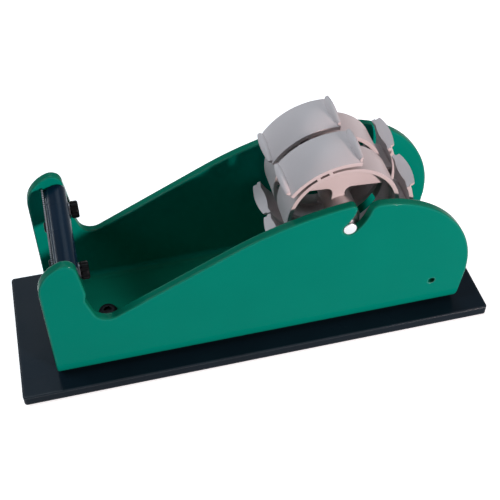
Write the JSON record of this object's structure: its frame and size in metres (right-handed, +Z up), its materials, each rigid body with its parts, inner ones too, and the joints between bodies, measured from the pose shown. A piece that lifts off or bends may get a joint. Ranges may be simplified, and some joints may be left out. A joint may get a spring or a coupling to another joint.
{
  "type": "tape dispenser",
  "caption": "Bench tape dispenser: folded steel channel on a heavy base plate, lift-out axle with sprung reel hubs, toothed cutter held by thumb screws.",
  "frame": {"origin": "centre of the base plate in plan, at the surface the rubber feet stand on", "axes": "+Z up, +X along the base from the cutter to the reel end, +Y across"},
  "size_m": [0.27, 0.09, 0.1263],
  "materials": {
    "painted_base": "gloss black paint over steel plate",
    "painted_body": "thick gloss green powder coat",
    "foot_rubber": "soft matt",
    "black_screw": "black oxide",
    "blade_steel": "ground",
    "plated_steel": "bright plated",
    "painted_holder": "gloss black",
    "knob_plastic": "satin black moulding",
    "axle_steel": "bright ground bar",
    "clip_steel": "dark spring steel",
    "spacer_plastic": "black moulding",
    "hub_plastic": "satin grey moulding"
  },
  "bodies": {
    "frame": {"base_plate": "painted_base", "foot_front_near": "foot_rubber", "foot_front_far": "foot_rubber", "foot_rear_near": "foot_rubber", "foot_rear_far": "foot_rubber", "channel_body": "painted_body", "body_screws": "black_screw", "cross_bar": "painted_body", "blade": "blade_steel", "blade_screws": "plated_steel", "blade_holder": "painted_holder"},
    "reel_carrier": {"axle": "axle_steel", "axle_clip_near": "clip_steel", "axle_clip_far": "clip_steel", "spacer_near": "spacer_plastic", "spacer_far": "spacer_plastic"},
    "near_reel": {"hub_near": "hub_plastic"},
    "far_reel": {"hub_far": "hub_plastic"},
    "near_washer": {"knob_washer_near": "plated_steel"},
    "far_washer": {"knob_washer_far": "plated_steel"},
    "near_thumb_screw": {"knob_near": "knob_plastic", "knob_stud_near": "plated_steel"},
    "far_thumb_screw": {"knob_far": "knob_plastic", "knob_stud_far": "plated_steel"}
  },
  "joints": [
    {"name": "lift_out", "type": "hinge", "parent": "frame", "child": "reel_carrier", "pos_m": [0.02825, 0, 0.10385], "axis": [0, -1, 0], "range_deg": [0, 90]},
    {"name": "near_reel_spin", "type": "hinge", "parent": "reel_carrier", "child": "near_reel", "pos_m": [0.0477, 0, 0.0844], "axis": [0, 1, 0], "continuous": true},
    {"name": "far_reel_spin", "type": "hinge", "parent": "reel_carrier", "child": "far_reel", "pos_m": [0.0477, 0, 0.0844], "axis": [0, 1, 0], "continuous": true},
    {"name": "near_knob_travel", "type": "slide", "parent": "frame", "child": "near_washer", "axis": [1, 0, 0], "range_m": [0, 0.0024]},
    {"name": "near_knob_turn", "type": "hinge", "parent": "near_washer", "child": "near_thumb_screw", "pos_m": [-0.0921, -0.023, 0.0762], "axis": [1, 0, 0], "range_deg": [0, 1080]},
    {"name": "far_knob_travel", "type": "slide", "parent": "frame", "child": "far_washer", "axis": [1, 0, 0], "range_m": [0, 0.0024]},
    {"name": "far_knob_turn", "type": "hinge", "parent": "far_washer", "child": "far_thumb_screw", "pos_m": [-0.0921, 0.023, 0.0762], "axis": [1, 0, 0], "range_deg": [0, 1080]}
  ],
  "couplings": [
    {"joint": "near_knob_turn", "follows": "near_knob_travel", "rad_per_m": 7853.9},
    {"joint": "far_knob_turn", "follows": "far_knob_travel", "rad_per_m": 7853.9}
  ]
}
